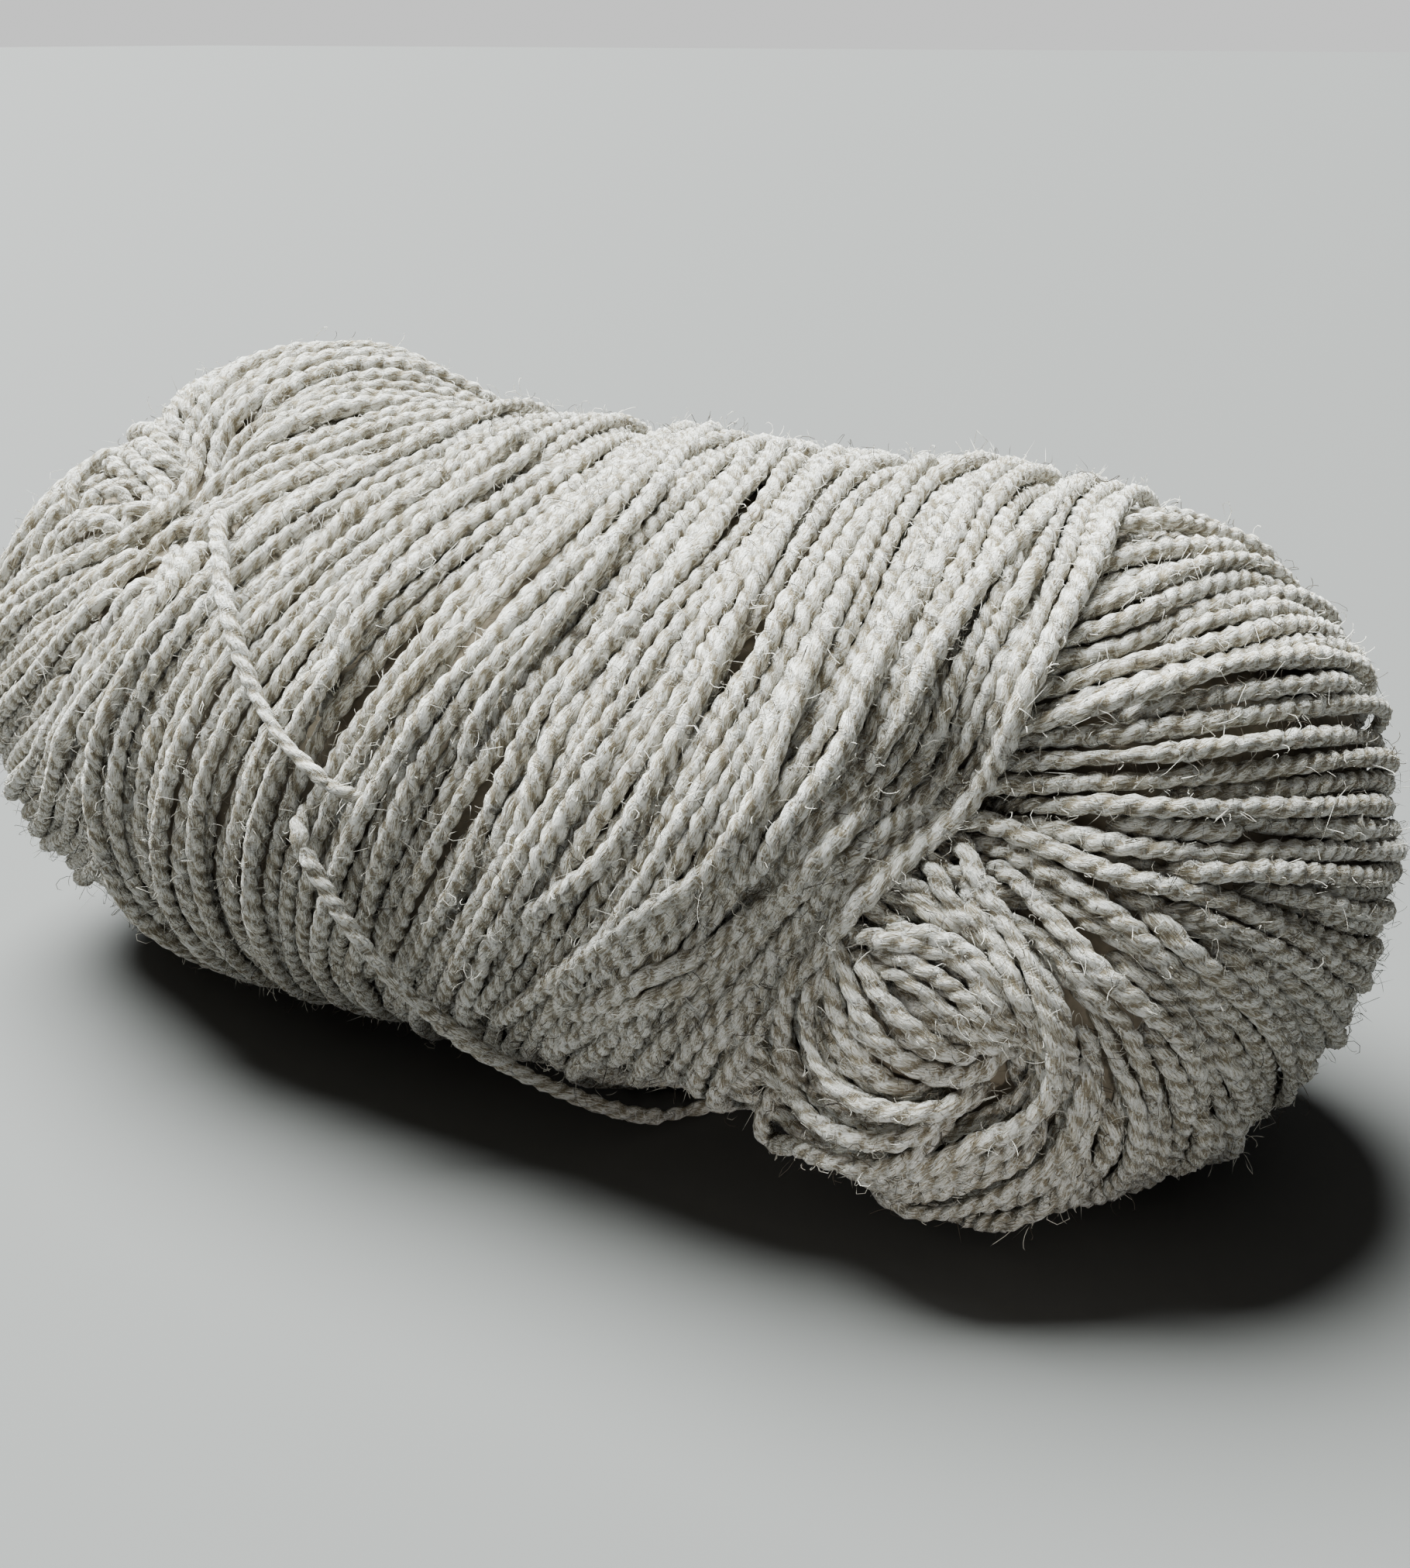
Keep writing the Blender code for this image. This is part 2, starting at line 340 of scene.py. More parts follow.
def relaxTurns():
    # places and heights of the turns at each angle, pushed apart where they crowd
    b = binding
    rng = np.random.default_rng(b["seed"])
    n, m = b["strands"], b["columns"]
    angle = np.arange(m) * 2 * math.pi / m
    column = b["girth"] / m
    place = np.linspace(*b["edges"], n)[:, None] + np.zeros((1, m))
    inner = np.zeros((n, 1))  # strands near the edges wander less
    for i in range(n):
        inner[i] = min(1.0, 4.0 * min(i, n - 1 - i) / n + 0.15)
        place[i] += inner[i] * b["wander"] / b["width"] * smoothNoise(rng, m, column, b["wanderLength"], True)
        place[i] += inner[i] * b["shifted"] * b["wander"] / b["width"] * rng.normal()
    waves = [smoothNoise(rng, m, column, b["heightLength"], True) for _ in range(n)]
    target = b["height"] + b["heightWave"] * np.stack(waves)
    for groups, around, start in b["bundles"]:
        wave = 2 * math.pi * groups * place + around * angle + start
        place = place - inner * b["bundlePull"] * np.sin(wave)
        target += b["bundleRise"] * np.cos(wave)
    target[0] = target[-1] = b["edgeHeight"]
    height = target.copy()
    # how far apart two neighbouring places are, square to the strands
    wide = (courseX(np.ones(m), angle) - courseX(np.zeros(m), angle))[None, :]
    slant = np.gradient(courseX(np.full(m, 0.5), angle), column)
    wide = wide / np.sqrt(1 + slant**2)[None, :]
    apart = yarn["diameter"] * b["crowding"]
    for _ in range(b["rounds"]):
        order = np.argsort(place, axis=0)
        p, h = np.take_along_axis(place, order, 0), np.take_along_axis(height, order, 0)
        moveP, moveH = np.zeros_like(p), np.zeros_like(h)
        for k in (1, 2, 3):
            du, dh = (p[k:] - p[:-k]) * wide, h[k:] - h[:-k]
            gap = np.sqrt(du**2 + dh**2) + 1e-9
            push = b["push"] * np.maximum(apart - gap, 0) / gap
            moveP[k:] += push * du / wide
            moveP[:-k] -= push * du / wide
            moveH[k:] += push * dh
            moveH[:-k] -= push * dh
        np.put_along_axis(place, order, p + b["pace"] * moveP, 0)
        np.put_along_axis(height, order, h + b["pace"] * moveH, 0)
        height += b["comeBack"] * (target - height)
        place = np.clip(place, 0.0, 1.0)
        height = np.clip(height, b["low"], b["high"])
        for _ in range(2):
            place, height = ringSmoothed(place), ringSmoothed(height)
    return place, height, angle


def bindingStrands():
    place, height, angle = relaxTurns()
    angles = np.broadcast_to(angle, place.shape)
    turns = outFromAxis(courseX(place, angles), angles, height)
    # the loose end dives under these turns, which rise over it
    start, end = (np.array(outerEnd[name][at]) + (0, 0, woundForm["lowered"])
                  for name, at in (("outer_end_upper", -1), ("outer_end_lower", 0)))
    away = segmentDistance(turns, start, end)
    rise = binding["overEnd"] * np.exp(-((away / binding["overWidth"]) ** 2))
    return turns + rise[..., None] * outward(turns)


# the two ends: strands laid along a flow
nearEnd = {
    "mouth": (0.0646, -0.0375, 0.0524), "backMouth": (0.062, 0.040, 0.036),
    "edgePlace": 1.0, "side": 1, "seed": 11,
    "guides": (  # pixels of the photograph
        ((1398, 844), (1471, 832), (1532, 795), (1600, 765)),
        ((1340, 885), (1410, 859), (1495, 832), (1586, 814), (1665, 801)),
        ((1320, 941), (1410, 917), (1495, 892), (1586, 859), (1700, 844)),
        ((1289, 977), (1374, 953), (1471, 935), (1616, 917), (1730, 904)),
        ((1265, 1013), (1338, 1013), (1410, 1013), (1525, 1007), (1647, 989), (1755, 977)),
        ((1253, 1038), (1344, 1062), (1435, 1086), (1525, 1095), (1647, 1098), (1780, 1098)),
        ((1300, 1080), (1410, 1123), (1556, 1165), (1635, 1192), (1690, 1230)),
        ((1289, 1116), (1374, 1165), (1453, 1226), (1525, 1286), (1586, 1347), (1622, 1407)),
        ((1313, 1150), (1374, 1195), (1435, 1256), (1495, 1316), (1545, 1377), (1562, 1437)),
        ((1320, 1213), (1374, 1268), (1435, 1335), (1475, 1407), (1465, 1490), (1435, 1535)),
        ((1338, 1256), (1386, 1316), (1410, 1377), (1398, 1456), (1350, 1516), (1313, 1545)),
        ((1350, 1304), (1374, 1359), (1362, 1425), (1301, 1480), (1223, 1522), (1162, 1540)),
        ((1338, 1365), (1313, 1419), (1253, 1462), (1180, 1488), (1114, 1500)),
        ((1080, 1189), (1150, 1213), (1223, 1262), (1289, 1322), (1318, 1365)),
        ((1150, 1135), (1210, 1183), (1277, 1225), (1313, 1256)),
        ((1089, 1232), (1101, 1304), (1150, 1377), (1223, 1412), (1285, 1400)),
        ((1150, 1286), (1174, 1335), (1223, 1371), (1277, 1390)),
        ((1053, 1205), (1040, 1256), (1033, 1335), (1045, 1383), (1080, 1432), (1132, 1462)),
        ((1074, 1213), (1062, 1316), (1071, 1377), (1108, 1413), (1168, 1432), (1241, 1422)),
    ),
}
farEnd = {
    "mouth": (-0.0395, -0.0335, 0.0670), "backMouth": (-0.045, 0.038, 0.034),
    "edgePlace": 0.0, "side": -1, "seed": 12,
    "guides": (
        ((240, 640), (255, 560), (300, 500), (370, 455), (430, 445)),
        ((255, 650), (300, 590), (370, 545), (450, 515), (540, 505)),
        ((262, 655), (330, 620), (420, 580), (500, 555)),
        ((215, 640), (190, 600), (150, 575), (110, 590)),
        ((205, 655), (150, 640), (100, 640), (60, 690)),
        ((205, 680), (150, 710), (80, 740), (25, 780)),
        ((210, 695), (160, 750), (90, 810), (20, 870)),
        ((220, 705), (185, 780), (130, 860), (75, 940)),
    ),
}
packing = {
    "spacing": 0.00232, "uneven": 0.10, "step": 0.0010,
    "start": 0.68, "run": 0.56, "runOn": 0.7,  # how near strands and guides may come, in spacings
    "longest": 150, "shortest": 12, "most": 400, "seedEvery": 4,  # counts of points and lines
    "ownAfter": 12, "ownGap": 9,  # points, when a strand comes round to itself
    "runUnder": 0.006, "startUnder": 0.003, "diving": 4,  # under the binding's edge and under neighbours
    "guideReach": 0.0012, "guideShare": 0.55, "poleReach": 0.016,  # what steers the flow
}
settling = {
    "apart": 0.92, "rounds": 36, "low": -0.0026, "high": 0.0006, "height": -0.0007,
    "wave": 0.0007, "waveLength": 0.02, "lifted": 0.0004, "neighbours": 0.0032, "ownGap": 7,
    "tuckDepth": 0.0016, "tuckRun": 0.003,  # the ends' strands dip under the binding's edge
    "push": 0.5, "pace": 0.55, "longest": 0.0005, "comeBack": 0.05,
}


def edgeDepth(points, end):
    # how far points lie under the binding's edge, in metres along the skein
    angle = np.arctan2(points[..., 2] - woundForm["axisHeight"], -points[..., 1])
    return end["side"] * (courseX(np.full(angle.shape, end["edgePlace"]), angle) - points[..., 0])


def flowStrands(end):
    rules = packing
    rng = np.random.default_rng(end["seed"])
    step, spacing = rules["step"], rules["spacing"]
    paths = [onForm(smoothPath(sightLine(g), step))[0] for g in end["guides"]]
    guidePoints = np.concatenate([p[:-1] for p in paths])
    guideWays = np.concatenate([unit(np.diff(p, axis=0)) for p in paths])
    poleWay = unit(np.array(end["backMouth"]) - np.array(end["mouth"]))
    grid, lines = {}, []

    def flow(point, last):
        away = guidePoints - point
        weight = 1.0 / (np.einsum("ij,ij->i", away, away) + rules["guideReach"]**2) ** 2
        way = (weight * np.sign(guideWays @ last)) @ guideWays / rules["guideShare"]
        way = way + (poleWay if poleWay @ last > 0 else -poleWay) / rules["poleReach"]**4
        return way / math.sqrt(way @ way)

    def cell(p):
        return math.floor(p[0] / spacing), math.floor(p[1] / spacing), math.floor(p[2] / spacing)

    def crowded(p, limit):
        x, y, z = float(p[0]), float(p[1]), float(p[2])
        i, j, k = cell((x, y, z))
        limit = limit * limit
        for a in (i - 1, i, i + 1):
            for b in (j - 1, j, j + 1):
                for c in (k - 1, k, k + 1):
                    for qx, qy, qz in grid.get((a, b, c), ()):
                        if (qx - x) ** 2 + (qy - y) ** 2 + (qz - z) ** 2 < limit:
                            return True
        return False

    def grow(start, way, limit):
        out, p, d = [], np.array(start), np.array(way)
        for _ in range(rules["longest"]):
            d = flow(p, d)
            p, n = slideOn(p + d * step)
            d = unit(d - n * (d @ n))
            if crowded(p, limit) or edgeDepth(p, end) > rules["runUnder"]:
                break
            earlier = out[:-rules["ownGap"]] if len(out) > rules["ownAfter"] else []
            if earlier and np.abs(np.array(earlier) - p).sum(1).min() < limit:
                break
            out.append(p)
        for _ in range(rules["diving"]):  # each end runs on a little way, to dive under its neighbours
            d = flow(p, d)
            p = slideOn(p + d * step)[0]
            out.append(p)
        return out

    def keep(line):
        lines.append(np.array(line))
        for p in line[3:-3]:
            grid.setdefault(cell(p), []).append((float(p[0]), float(p[1]), float(p[2])))

    for path in paths:
        ahead = grow(path[-1], unit(path[-1] - path[-2]), rules["runOn"] * spacing)
        behind = grow(path[0], unit(path[0] - path[1]), rules["runOn"] * spacing)
        keep(behind[::-1] + list(path) + ahead)
    at = 0
    while at < len(lines) and len(lines) < rules["most"]:
        line = lines[at]
        at += 1
        for index in range(3, len(line) - 3, rules["seedEvery"]):
            p = line[index]
            along = unit(line[index + 1] - line[index - 1])
            n = slideOn(p)[1]
            for side in (1, -1):
                apart = spacing * (1.0 + rules["uneven"] * rng.normal())
                seed = slideOn(p + side * apart * np.cross(n, along))[0]
                if crowded(seed, rules["start"] * spacing) or edgeDepth(seed, end) > rules["startUnder"]:
                    continue
                ahead = grow(seed, along, rules["run"] * spacing)
                behind = grow(seed, -along, rules["run"] * spacing)
                if len(ahead) + len(behind) > rules["shortest"]:
                    keep(behind[::-1] + [seed] + ahead)
    return lines


def settle(lines, end):
    # strands that share a place push each other aside, up or down, as packed yarn does
    k = settling
    points = np.concatenate(lines)
    owner = np.repeat(np.arange(len(lines)), [len(line) for line in lines])
    tree = KDTree(len(points))
    for i, p in enumerate(points):
        tree.insert(p, i)
    tree.balance()
    first, second = [], []
    for i, p in enumerate(points):
        for _, j, _ in tree.find_range(p, k["neighbours"]):
            if j > i and (owner[i] != owner[j] or j - i > k["ownGap"]):
                first.append(i)
                second.append(j)
    first, second = np.array(first), np.array(second)
    inside = np.flatnonzero((owner[1:-1] == owner[:-2]) & (owner[1:-1] == owner[2:])) + 1
    rng = np.random.default_rng(end["seed"] + 40)
    target = np.concatenate([
        k["height"] + k["wave"] * smoothNoise(rng, len(line), packing["step"], k["waveLength"])
        + k["lifted"] * rng.normal() for line in lines])
    ceiling = k["high"] - k["tuckDepth"] * np.clip(edgeDepth(points, end) / k["tuckRun"], 0, 1)
    points = points + outward(points) * np.clip(target, k["low"], ceiling)[:, None]
    apart = yarn["diameter"] * k["apart"]
    for _ in range(k["rounds"]):
        along = np.zeros_like(points)
        along[inside] = unit(points[inside + 1] - points[inside - 1])
        away = points[second] - points[first]
        away -= along[first] * (away * along[first]).sum(1, keepdims=True)
        gap = np.linalg.norm(away, axis=1) + 1e-9
        push = away * (k["push"] * np.maximum(apart - gap, 0) / gap)[:, None]
        move = np.stack([np.bincount(second, part, len(points)) - np.bincount(first, part, len(points))
                         for part in push.T], axis=1)
        size = np.linalg.norm(move, axis=1, keepdims=True) + 1e-9
        points += k["pace"] * move * np.minimum(1, k["longest"] / size)
        height, way = formHeight(points)
        wanted = np.clip(height + k["comeBack"] * (target - height), k["low"], ceiling)
        points += way * (wanted - height)[:, None]
        points[inside] = points[inside] * 0.5 + 0.25 * (points[inside - 1] + points[inside + 1])
    ends = np.cumsum([0] + [len(line) for line in lines])
    return [points[a:b] for a, b in zip(ends, ends[1:])]


laying = {
    "step": 0.00055, "overDive": 0.0016, "endDive": 0.0026, "endDiveRun": 0.0055,
    "bindingThickness": 0.93, "endThickness": 0.96, "hiddenThickness": 0.80, "cordThickness": 0.84,
    "looseTone": -1.0, "overTone": -0.6, "overToneSpread": 0.5,
    "floorGap": 0.0002, "seed": 21,
}

# strands that ride over the others: height over the form, then pixels of the photograph; their ends dive
laidOver = {
    "binding": {"climb": 0.012, "strands": (
        (0.0026, ((1225, 590), (1165, 655), (1110, 760), (1046, 896), (1016, 968), (981, 1045),
                  (915, 1110), (850, 1165), (770, 1222), (694, 1272), (620, 1312))),
        (0.0023, ((1100, 578), (1045, 660), (985, 770), (930, 880), (890, 960), (850, 1030), (804, 1098),
                  (752, 1139), (690, 1178), (640, 1215))),
        (0.0024, ((1130, 1040), (1100, 1085), (1056, 1130), (985, 1183), (905, 1235), (820, 1285),
                  (745, 1322), (690, 1342))),
        (0.0022, ((1150, 960), (1120, 1030), (1075, 1085), (1010, 1143), (930, 1194), (850, 1242),
                  (780, 1282), (710, 1312))),
        (0.0025, ((1330, 590), (1290, 630), (1235, 710), (1180, 800), (1120, 900), (1075, 985),
                  (1010, 1075), (950, 1135), (890, 1180))),
        (0.0024, ((975, 545), (930, 580), (860, 645), (800, 725), (735, 810), (665, 890), (610, 970),
                  (570, 1040))),
        (0.0023, ((700, 560), (660, 590), (600, 645), (545, 705), (480, 780), (435, 850), (405, 920))),
        (0.0024, ((1420, 640), (1350, 690), (1290, 750), (1230, 830), (1180, 905), (1120, 985),
                  (1060, 1055))),
    )},
    "near": {"climb": 0.005, "strands": (
        (0.0024, ((1087, 1192), (1123, 1210), (1160, 1224), (1200, 1234), (1240, 1251), (1273, 1278),
                  (1300, 1310), (1317, 1345))),
        (0.0030, ((1121, 1188), (1153, 1205), (1193, 1216), (1233, 1232), (1270, 1253), (1297, 1281),
                  (1316, 1317))),
        (0.0016, ((1107, 1236), (1140, 1253), (1173, 1273), (1207, 1299), (1243, 1325), (1280, 1348),
                  (1313, 1371))),
        (0.0022, ((1110, 1216), (1150, 1238), (1190, 1260), (1232, 1285), (1268, 1313), (1298, 1338),
                  (1320, 1360))),
        (0.0022, ((1228, 1062), (1247, 1100), (1263, 1130), (1280, 1157), (1300, 1181), (1314, 1206),
                  (1335, 1240), (1352, 1275), (1366, 1315), (1371, 1355), (1362, 1398), (1338, 1430),
                  (1300, 1451), (1253, 1465), (1193, 1488), (1137, 1502))),
        (0.0020, ((1235, 1122), (1250, 1151), (1263, 1178), (1279, 1205), (1296, 1232), (1316, 1268),
                  (1332, 1306), (1340, 1345))),
        (0.0020, ((1190, 1080), (1197, 1113), (1210, 1143), (1228, 1171), (1250, 1198), (1275, 1222),
                  (1300, 1250))),
        (0.0018, ((1150, 1130), (1170, 1156), (1192, 1178), (1216, 1198), (1243, 1218), (1268, 1240))),
        (0.0022, ((1053, 1205), (1041, 1253), (1033, 1297), (1030, 1335), (1036, 1369), (1047, 1402),
                  (1066, 1428), (1095, 1445), (1135, 1455), (1187, 1452), (1240, 1440))),
        (0.0020, ((1080, 1225), (1070, 1270), (1064, 1310), (1069, 1347), (1084, 1380), (1108, 1403),
                  (1142, 1418), (1187, 1424), (1233, 1417), (1277, 1399))),
        (0.0026, ((1000, 1398), (998, 1425), (1018, 1450), (1052, 1463), (1092, 1476), (1133, 1483),
                  (1182, 1477), (1230, 1461))),
    )},
}
hiddenEnds = (  # where the loose end goes on out of sight, into the mouth and under the turns
    ((-0.0368, -0.0292, 0.0668), (-0.0391, -0.0268, 0.0648), (-0.0408, -0.0250, 0.0608),
     (-0.0416, -0.0240, 0.0560)),
    ((-0.0040, -0.0499, 0.0452), (-0.0020, -0.0493, 0.0441), (-0.0006, -0.0474, 0.0431),
     (0.0000, -0.0448, 0.0424)),
    ((-0.0060, -0.0508, 0.0364), (-0.0075, -0.0502, 0.0385), (-0.0086, -0.0482, 0.0400),
     (-0.0090, -0.0455, 0.0408)),
    ((0.0226, -0.0248, 0.0018), (0.0243, -0.0208, 0.0014), (0.0258, -0.0165, 0.0013)),
)


def strandsOver(where):
    over = laidOver[where]
    lines = []
    for top, pixels in over["strands"]:
        line = onForm(smoothPath(sightLine(pixels), laying["step"]))[0]
        rise = np.clip(fromEnds(len(line)) * laying["step"] / over["climb"], 0, 1)
        height = (top + laying["overDive"]) * rise * rise * (3 - 2 * rise) - laying["overDive"]
        lines.append(smoothed(line + outward(line) * height[:, None], 3))
    return lines


# strand meshes
strandShape = {
    "around": 8, "fluff": 0.045, "nearStep": 0.00068, "farStep": 0.00125,
    "thickThin": 0.13, "thickThinLength": 0.008, "unevenTwist": 0.8, "unevenLength": 0.009,
    "taper": 3.0, "tip": 0.45,  # rings over which an end narrows, and to what share
}
rngStrand = np.random.default_rng(laying["seed"])


def meshPiece(name, points, quads, tris, corners=None, tones=None):
    # corners: the texture place of each face corner, quads first
    mesh = bpy.data.meshes.new(name)
    loops = np.concatenate([quads.ravel(), tris.ravel()]).astype(np.int32)
    starts = np.concatenate([np.arange(len(quads)) * 4, len(quads) * 4 + np.arange(len(tris)) * 3])
    mesh.vertices.add(len(points))
    mesh.vertices.foreach_set("co", np.asarray(points, np.float32).ravel())
    mesh.loops.add(len(loops))
    mesh.loops.foreach_set("vertex_index", loops)
    mesh.polygons.add(len(starts))
    mesh.polygons.foreach_set("loop_start", starts.astype(np.int32))
    mesh.update(calc_edges=True)
    if corners is not None:
        mesh.uv_layers.new(name="strand").data.foreach_set("uv", corners.astype(np.float32).ravel())
    if tones is not None:
        mesh.attributes.new("tone", "FLOAT", "POINT").data.foreach_set("value", tones.astype(np.float32))
    mesh.validate()
    mesh.shade_smooth()
    return addObject(name, mesh)


def sectionRadius():
    # the outline of two plies side by side, at each point round the strand
    a = np.arange(strandShape["around"]) * 2 * math.pi / strandShape["around"]
    off, r = yarn["plyOffset"], yarn["plyRadius"]
    radius = off * np.abs(np.cos(a)) + np.sqrt(r**2 - (off * np.sin(a)) ** 2)
    return a, radius * yarn["diameter"] / 2


def strandTube(centres, normals, thickness, tone, closed=False):
    s, rng, n = strandShape, rngStrand, len(centres)
    if closed:
        ways = unit(np.roll(centres, -1, 0) - np.roll(centres, 1, 0))
        steps = np.linalg.norm(np.roll(centres, -1, 0) - centres, axis=1)
    else:
        ways = unit(np.gradient(centres, axis=0))
        steps = np.linalg.norm(np.diff(centres, axis=0, append=centres[-1:]), axis=1)
    travelled = np.concatenate([[0.0], np.cumsum(steps)])[:n]
    whole = steps.sum()
    normals = unit(normals - ways * (normals * ways).sum(1, keepdims=True))
    sides = np.cross(ways, normals)
    turns = whole / yarn["twistLength"]
    if closed:
        turns = round(turns)
    uneven = smoothNoise(rng, n, whole / n, s["unevenLength"], closed) * s["unevenTwist"]
    twist = -2 * math.pi * turns * travelled / whole + rng.uniform(0, 6.28) + uneven
    a, radius = sectionRadius()
    m = len(a)
    swell = thickness * (1 + s["thickThin"] * smoothNoise(rng, n, whole / n, s["thickThinLength"], closed))
    if not closed:
        swell = swell * np.clip(s["tip"] + (1 - s["tip"]) * (fromEnds(n) / s["taper"]), 0, 1)
    rough = 1 + s["fluff"] * rng.normal(size=(n, m))
    r = radius[None, :] * swell[:, None] * rough
    phase = a[None, :] + twist[:, None]
    points = (centres[:, None, :] + (r * np.cos(phase))[..., None] * normals[:, None, :]
              + (r * np.sin(phase))[..., None] * sides[:, None, :]).reshape(-1, 3)
    rings = n if closed else n - 1
    i = np.arange(rings)[:, None]
    j = np.arange(m)[None, :]
    nextRing, nextAround = (i + 1) % n, (j + 1) % m
    quads = np.stack([i * m + j, i * m + nextAround, nextRing * m + nextAround, nextRing * m + j], axis=-1)
    # texture places: millimetres along the strand from a chance start, and the share of the way round
    back = np.broadcast_to(travelled[:rings, None], (rings, m))
    front = back + steps[:rings, None]
    left = np.broadcast_to(j / m, (rings, m))
    right = left + 1.0 / m
    shift = rng.uniform(0, 900)
    corners = ((back, left), (back, right), (front, right), (front, left))
    quadCorners = np.stack([np.stack([u * 1000 + shift, v], -1) for u, v in corners], axis=-2)
    tris = np.zeros((0, 3), int)
    if not closed:
        points = np.concatenate([points, centres[:1], centres[-1:]])
        k = np.arange(m)
        first = np.stack([np.full(m, n * m), (k + 1) % m, k], -1)
        last = np.stack([np.full(m, n * m + 1), (n - 1) * m + k, (n - 1) * m + (k + 1) % m], -1)
        tris = np.concatenate([first, last])
    triCorners = np.zeros((3 * len(tris), 2)) + (shift, 0.25)
    return {"points": points, "quads": quads.reshape(-1, 4), "tris": tris, "tone": np.full(len(points), tone),
            "quadCorners": quadCorners.reshape(-1, 2), "triCorners": triCorners,
            "centres": centres, "normals": normals, "ways": ways}


def gathered(tubes, key):
    return np.concatenate([tube[key] for tube in tubes])


def joined(name, tubes):
    base, quads, tris = 0, [], []
    for tube in tubes:
        quads.append(tube["quads"] + base)
        tris.append(tube["tris"] + base)
        base += len(tube["points"])
    points = gathered(tubes, "points")
    points[:, 2] = np.maximum(points[:, 2], laying["floorGap"])
    quads, tris = np.concatenate(quads), np.concatenate(tris)
    corners = np.concatenate([gathered(tubes, "quadCorners"), gathered(tubes, "triCorners")])
    return meshPiece(name, points, quads, tris, corners, gathered(tubes, "tone"))


def paced(points, normals):
    # points along a strand, closer together where the front and the top show it
    toEye = unit(np.array(cameraView["place"]) - points)
    seen = np.clip((normals * toEye).sum(1) * 3 + 0.9, 0, 1)
    gaps = strandShape["farStep"] + (strandShape["nearStep"] - strandShape["farStep"]) * seen
    steps = np.linalg.norm(np.diff(points, axis=0), axis=1)
    paces = np.concatenate([[0.0], np.cumsum(steps / (0.5 * (gaps[1:] + gaps[:-1])))])
    return resampled(points, paces, max(4, int(round(paces[-1])) + 1))


def makeBinding():
    tubes = []
    for ring in bindingStrands():
        ring = lowered(smoothed(ring, 1, True))
        ring = np.concatenate([ring, ring[:1]])
        loop = paced(ring, outward(ring))[:-1]
        tubes.append(strandTube(loop, outward(loop), laying["bindingThickness"], rngStrand.normal(), True))
    for knots in hiddenEnds:
        line = smoothPath(knots, laying["step"])
        tubes.append(strandTube(line, outward(line), laying["hiddenThickness"], laying["looseTone"]))
    return tubes + makeOver("binding")


def makeOver(where):
    tubes = []
    for line in strandsOver(where):
        centres = paced(lowered(line), outward(line))
        tone = laying["overTone"] + laying["overToneSpread"] * rngStrand.normal()
        tubes.append(strandTube(centres, outward(centres), laying["bindingThickness"], tone))
    return tubes


def makeEnd(end):
    tubes = []
    for line in settle(flowStrands(end), end):
        line = evenly(smoothed(line, 2), laying["step"])
        normals = outward(line)
        fromEnd = fromEnds(len(line)) * laying["step"]
        dive = laying["endDive"] * np.clip(1 - fromEnd / laying["endDiveRun"], 0, 1) ** 2
        centres = paced(lowered(line - normals * dive[:, None]), normals)
        tubes.append(strandTube(centres, outward(centres), laying["endThickness"], rngStrand.normal()))
    return tubes + (makeOver("near") if end is nearEnd else [])


# materials
class Socket:
    # wraps a shader output, so that sums are written as sums
    def __init__(self, tree, out):
        self.tree, self.out = tree, out

    def math(self, operation, *others, clamp=False):
        settings = {"operation": operation, "use_clamp": clamp}
        return addNode(self.tree, "ShaderNodeMath", settings, (self, *others))

    def __add__(self, other):
        return self.math("ADD", other)

    def __sub__(self, other):
        return self.math("SUBTRACT", other)

    def __mul__(self, other):
        return self.math("MULTIPLY", other)

    def __rsub__(self, other):
        return addNode(self.tree, "ShaderNodeMath", {"operation": "SUBTRACT"}, (other, self))

    __radd__, __rmul__ = __add__, __mul__


def addNode(tree, kind, settings=(), inputs=(), output=0):
    node = tree.nodes.new(kind)
    for key, value in dict(settings).items():
        if key == "stops":
            ramp = node.color_ramp
            while len(ramp.elements) > 1:
                ramp.elements.remove(ramp.elements[-1])
            for index, (at, colour) in enumerate(value):
                stop = ramp.elements[0] if index == 0 else ramp.elements.new(at)
                stop.position, stop.color = at, (*colour, 1.0)
        else:
            setattr(node, key, value)
    pairs = inputs.items() if isinstance(inputs, dict) else enumerate(inputs)
    for key, value in pairs:
        if isinstance(value, Socket):
            tree.links.new(value.out, node.inputs[key])
        else:
            node.inputs[key].default_value = value
    return Socket(tree, node.outputs[output])


